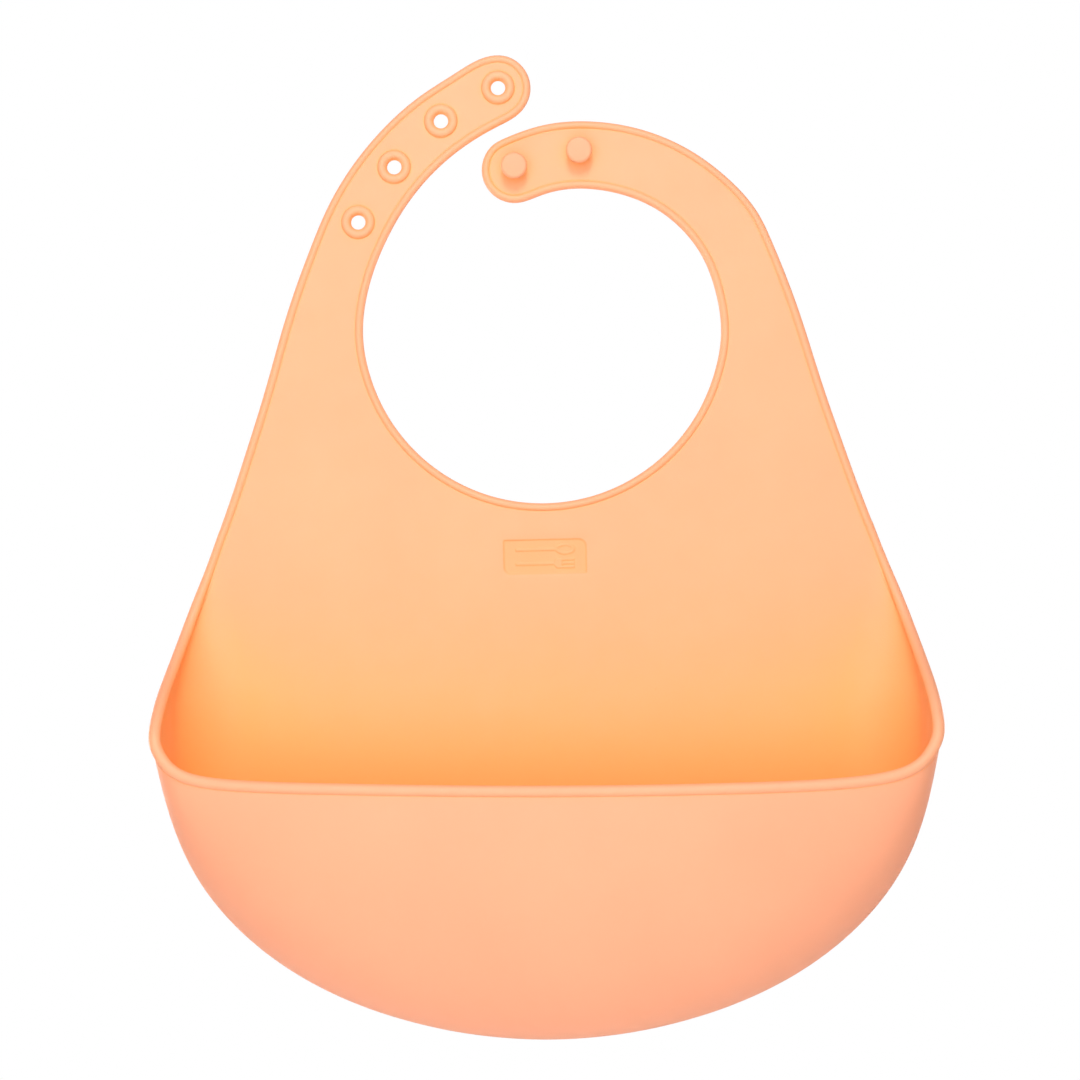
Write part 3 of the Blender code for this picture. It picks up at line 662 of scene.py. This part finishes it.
# =====================================================================
# material
# =====================================================================
def silicone(name, base, shade_color, glow, grain):
    """Matt moulded silicone: soft diffuse body that lets some light through, with a fine mould grain,
    and painted shade that deepens its colour in hollows.
    """
    mat = bpy.data.materials.new(name)
    mat.use_nodes = True
    tree = mat.node_tree
    nodes, link = tree.nodes, tree.links.new
    shader = nodes["Principled BSDF"]
    output = nodes["Material Output"]
    coords = nodes.new("ShaderNodeTexCoord")

    def noise(scale, detail, rough=0.5):
        n = nodes.new("ShaderNodeTexNoise")
        n.inputs["Scale"].default_value = scale
        n.inputs["Detail"].default_value = detail
        n.inputs["Roughness"].default_value = rough
        link(coords.outputs["Object"], n.inputs["Vector"])
        return n.outputs["Fac"]

    def spread(value, lo, hi, a, b):
        m = nodes.new("ShaderNodeMapRange")
        m.inputs["From Min"].default_value, m.inputs["From Max"].default_value = lo, hi
        m.inputs["To Min"].default_value, m.inputs["To Max"].default_value = a, b
        link(value, m.inputs["Value"])
        return m.outputs["Result"]

    # colour: barely uneven pigment, with rare tiny specks of dust
    mix = nodes.new("ShaderNodeMix")
    mix.data_type = "RGBA"
    mix.inputs["A"].default_value = (*[c * 0.97 for c in base], 1)
    mix.inputs["B"].default_value = (*[min(1.0, c * 1.02) for c in base], 1)
    link(spread(noise(28, 3), 0.3, 0.7, 0, 1), mix.inputs["Factor"])
    specks = nodes.new("ShaderNodeTexVoronoi")
    specks.inputs["Scale"].default_value = 55
    link(coords.outputs["Object"], specks.inputs["Vector"])
    dust = nodes.new("ShaderNodeMix")
    dust.data_type = "RGBA"
    dust.inputs["B"].default_value = (base[0] * 0.8, base[1] * 0.66, base[2] * 0.6, 1)
    link(mix.outputs["Result"], dust.inputs["A"])
    link(spread(specks.outputs["Distance"], 0.012, 0.020, 0.55, 0.0), dust.inputs["Factor"])
    # painted shade: an occlusion mask deepens the base colour in hollows, creases and under the studs,
    # besides the light that really bounces and passes through there
    occlusion = nodes.new("ShaderNodeAmbientOcclusion")
    occlusion.samples = 8
    occlusion.inputs["Distance"].default_value = SHADE_REACH
    shade_mix = nodes.new("ShaderNodeMix")
    shade_mix.data_type = "RGBA"
    shade_mix.inputs["A"].default_value = (*shade_color, 1)
    link(dust.outputs["Result"], shade_mix.inputs["B"])
    openness = spread(occlusion.outputs["AO"], FULL_SHADE_AT, OPEN_AT, 0, 1)
    link(openness, shade_mix.inputs["Factor"])
    link(shade_mix.outputs["Result"], shader.inputs["Base Color"])

    # finish: matt, slightly uneven
    link(spread(noise(140, 4), 0.3, 0.7, ROUGH_FROM, ROUGH_TO), shader.inputs["Roughness"])
    shader.inputs["Specular IOR Level"].default_value = SPECULAR
    shader.inputs["IOR"].default_value = SILICONE_IOR
    shader.inputs["Sheen Weight"].default_value = SHEEN
    shader.inputs["Sheen Roughness"].default_value = SHEEN_ROUGHNESS

    fine, broad = nodes.new("ShaderNodeBump"), nodes.new("ShaderNodeBump")
    fine.inputs["Strength"].default_value = grain
    fine.inputs["Distance"].default_value = GRAIN_DEPTH
    broad.inputs["Strength"].default_value = 0.25
    broad.inputs["Distance"].default_value = UNEVEN_DEPTH
    link(noise(2600, 2), fine.inputs["Height"])
    link(noise(60, 2), broad.inputs["Height"])
    link(broad.outputs["Normal"], fine.inputs["Normal"])
    link(fine.outputs["Normal"], shader.inputs["Normal"])

    # painted shade: the same occlusion mask tints the light through the sheet deeper in hollows
    through = nodes.new("ShaderNodeBsdfTranslucent")
    glow_shade_mix = nodes.new("ShaderNodeMix")
    glow_shade_mix.data_type = "RGBA"
    glow_shade_mix.inputs["A"].default_value = (*HOLLOW_SHADE_GLOW, 1)
    glow_shade_mix.inputs["B"].default_value = (*glow, 1)
    link(openness, glow_shade_mix.inputs["Factor"])
    link(glow_shade_mix.outputs["Result"], through.inputs["Color"])
    link(fine.outputs["Normal"], through.inputs["Normal"])
    blend = nodes.new("ShaderNodeMixShader")
    blend.inputs["Fac"].default_value = THROUGH
    link(shader.outputs["BSDF"], blend.inputs[1])
    link(through.outputs["BSDF"], blend.inputs[2])
    link(blend.outputs["Shader"], output.inputs["Surface"])
    return mat


# =====================================================================
# stage, light, camera
# =====================================================================
def area(name, place, aim, size, power, color=(1, 1, 1)):
    lamp = bpy.data.lights.new(name, "AREA")
    lamp.shape, lamp.size, lamp.energy, lamp.color = "DISK", size, power, color
    obj = bpy.data.objects.new(name, lamp)
    obj.location = place
    obj.rotation_euler = (Vector(aim) - Vector(place)).to_track_quat("-Z", "Y").to_euler()
    obj.visible_camera = False
    bpy.context.scene.collection.objects.link(obj)


KEY_PLACE, KEY_SIZE, KEY_POWER = (-0.06, -0.60, -0.05), 0.75, 4.2
HIGH_PLACE, HIGH_SIZE, HIGH_POWER = (0.0, -0.52, 0.42), 0.24, 2.8
BACK_PLACE, BACK_SIZE, BACK_POWER = (0.0, 0.75, 0.05), 0.6, 1.6
WALL_PLACE, WALL_SIZE, WALL_POWERS = (0.40, 0.22, -0.12), 0.20, {-1: 1.3, 1: 0.75}
TOP_LIGHT, SIDE_LIGHT, LOW_LIGHT = 0.42, 0.27, 0.10
FLOOR_Z, FLOOR_R, FLOOR_POINTS = -0.40, 0.52, 96


def build_stage():
    mesh = bpy.data.meshes.new("floor")
    turn = np.linspace(0, 2 * pi, FLOOR_POINTS, endpoint=False)
    rim = [(FLOOR_R * cos(t), FLOOR_R * sin(t), FLOOR_Z) for t in turn]
    mesh.from_pydata(rim, [], [tuple(range(FLOOR_POINTS))])
    floor = bpy.data.objects.new("floor", mesh)
    bpy.context.scene.collection.objects.link(floor)
    mat = bpy.data.materials.new("pale_floor")
    mat.use_nodes = True
    shader = mat.node_tree.nodes["Principled BSDF"]
    shader.inputs["Base Color"].default_value = (0.9, 0.9, 0.9, 1)
    shader.inputs["Roughness"].default_value = 0.9
    shader.inputs["Specular IOR Level"].default_value = 0.1
    mesh.materials.append(mat)

    # white surround behind the bib, with softer light from it that falls off downwards
    world = bpy.data.worlds.new("studio")
    bpy.context.scene.world = world
    world.use_nodes = True
    nodes, link = world.node_tree.nodes, world.node_tree.links.new
    nodes.clear()
    coords = nodes.new("ShaderNodeTexCoord")
    split = nodes.new("ShaderNodeSeparateXYZ")
    ramp = nodes.new("ShaderNodeValToRGB")
    low, side_on = ramp.color_ramp.elements
    low.position, side_on.position = 0.0, 0.5
    low.color = (LOW_LIGHT, LOW_LIGHT, LOW_LIGHT, 1)
    side_on.color = (SIDE_LIGHT, SIDE_LIGHT, SIDE_LIGHT, 1)
    high = ramp.color_ramp.elements.new(1.0)
    high.color = (TOP_LIGHT, TOP_LIGHT, TOP_LIGHT, 1)
    rescale = nodes.new("ShaderNodeMapRange")
    rescale.inputs["From Min"].default_value, rescale.inputs["From Max"].default_value = -1, 1
    soft, white = nodes.new("ShaderNodeBackground"), nodes.new("ShaderNodeBackground")
    mix = nodes.new("ShaderNodeMixShader")
    rays, output = nodes.new("ShaderNodeLightPath"), nodes.new("ShaderNodeOutputWorld")
    link(coords.outputs["Generated"], split.inputs[0])
    link(split.outputs["Z"], rescale.inputs["Value"])
    link(rescale.outputs["Result"], ramp.inputs["Fac"])
    link(ramp.outputs["Color"], soft.inputs["Color"])
    white.inputs["Color"].default_value = (1, 1, 1, 1)
    link(rays.outputs["Is Camera Ray"], mix.inputs["Fac"])
    link(soft.outputs["Background"], mix.inputs[1])
    link(white.outputs["Background"], mix.inputs[2])
    link(mix.outputs["Shader"], output.inputs["Surface"])
    bpy.context.scene.view_settings.view_transform = "Standard"
    area("key_light", KEY_PLACE, (0, 0, -0.06), KEY_SIZE, KEY_POWER)
    area("high_light", HIGH_PLACE, (0, 0, -0.02), HIGH_SIZE, HIGH_POWER)
    area("back_light", BACK_PLACE, (0, 0, -0.06), BACK_SIZE, BACK_POWER)
    # from behind to each side, so that the pocket's side walls glow inside
    for side, power in WALL_POWERS.items():
        place = (side * WALL_PLACE[0], *WALL_PLACE[1:])
        area("wall_light", place, (side * 0.1, -0.03, -0.12), WALL_SIZE, power)


CAMERA_DISTANCE = 0.70       # in metres
CAMERA_ASIDE = 13.6          # the camera stands this far to the right of what it looks at
FRAME_WIDTH = 318.6          # of the sheet's plane, from the frame's left edge to its right edge
AIM_BELOW, AIM_LEFT = 63.72, 0.5             # middle of the frame, from the neck's centre
SENSOR_WIDTH = 36.0
ROLL = radians(0.9)          # the bib hangs slightly turned in the frame


def build_camera():
    # below the neck's centre as the frame sees it, turned back into the bib's own frame
    drop = -AIM_BELOW * MM
    aim = Vector((drop * sin(ROLL) - AIM_LEFT * MM, 0, drop * cos(ROLL)))
    place = aim + Vector((CAMERA_ASIDE * MM, -CAMERA_DISTANCE, 0))
    data = bpy.data.cameras.new("camera")
    data.sensor_width = SENSOR_WIDTH
    data.lens = SENSOR_WIDTH * (place - aim).length / (FRAME_WIDTH * MM)
    data.clip_start, data.clip_end = 0.01, 50
    cam = bpy.data.objects.new("camera", data)
    bpy.context.scene.collection.objects.link(cam)
    facing = (aim - place).to_track_quat("-Z", "Y").to_matrix().to_4x4()
    cam.matrix_world = Matrix.Translation(place) @ facing @ Matrix.Rotation(-ROLL, 4, "Z")
    bpy.context.scene.camera = cam


def bend_piece(obj, line, parent, child):
    """Bake a piece's placement into its mesh; it is not blended from a parent body to a child body."""
    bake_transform(obj)


def main():
    build_stage()
    build_camera()
    pieces = make_pieces(build_skin())
    body = silicone("silicone", BODY_COLOR, HOLLOW_SHADE_COLOR, GLOW_COLOR, SHEET_GRAIN)
    label = silicone("silicone_label", LABEL_COLOR, HOLLOW_SHADE_COLOR, GLOW_COLOR, LABEL_GRAIN)
    for name, obj in pieces.items():
        obj.data.materials.append(label if name == "label" else body)

    hole_bodies = ["chest", "hole_strap_root_zone", "hole_strap_middle_zone", "hole_strap_tip_zone"]
    stud_bodies = ["chest", "stud_strap_root_zone", "stud_strap_tip_zone"]
    bend_piece(pieces["hole_strap_root_skin"], HOLE[0], *hole_bodies[:2])
    bend_piece(pieces["hole_strap_middle_skin"], HOLE[1], *hole_bodies[1:3])
    bend_piece(pieces["hole_strap_tip_skin"], HOLE[2], *hole_bodies[2:])
    bend_piece(pieces["eyelet_4"], HOLE[1], *hole_bodies[1:3])
    bend_piece(pieces["eyelet_3"], HOLE[1], *hole_bodies[1:3])
    bend_piece(pieces["eyelet_2"], HOLE[2], *hole_bodies[2:])
    bend_piece(pieces["eyelet_1"], HOLE[2], *hole_bodies[2:])
    bend_piece(pieces["stud_strap_root_skin"], STUD[0], *stud_bodies[:2])
    bend_piece(pieces["stud_strap_tip_skin"], STUD[1], *stud_bodies[1:])
    for n in (1, 2):
        bend_piece(pieces[f"stud_{n}"], STUD[1], *stud_bodies[1:])
    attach(pieces["chest_skin"], "chest")
    for name in ("chest_fold_skin", "label"):
        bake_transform(pieces[name])
    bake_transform(pieces["pocket_skin"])

    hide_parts("chest_sheet", "arm_bead_left", "arm_bead_right", "neckline_bead")
    for part in ("root", "middle"):
        name = f"hole_strap_{part}"
        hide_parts(name, name + "_outer_bead", name + "_inner_bead")
    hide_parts("hole_strap_tip", "hole_strap_tip_bead")
    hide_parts("stud_strap_root", "stud_strap_root_inner_bead",
                "stud_strap_root_outer_bead")
    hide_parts("stud_strap_tip", "stud_strap_tip_bead")
    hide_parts("pocket_back", "pocket_front", "rim_bead_left",
                "rim_bead_right", "lip_bead")
    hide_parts("label_field")
    for n in (1, 2, 3, 4):
        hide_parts(f"eyelet_{n}")
    for n in (1, 2):
        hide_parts(f"stud_{n}")


main()
bpy.context.view_layer.update()
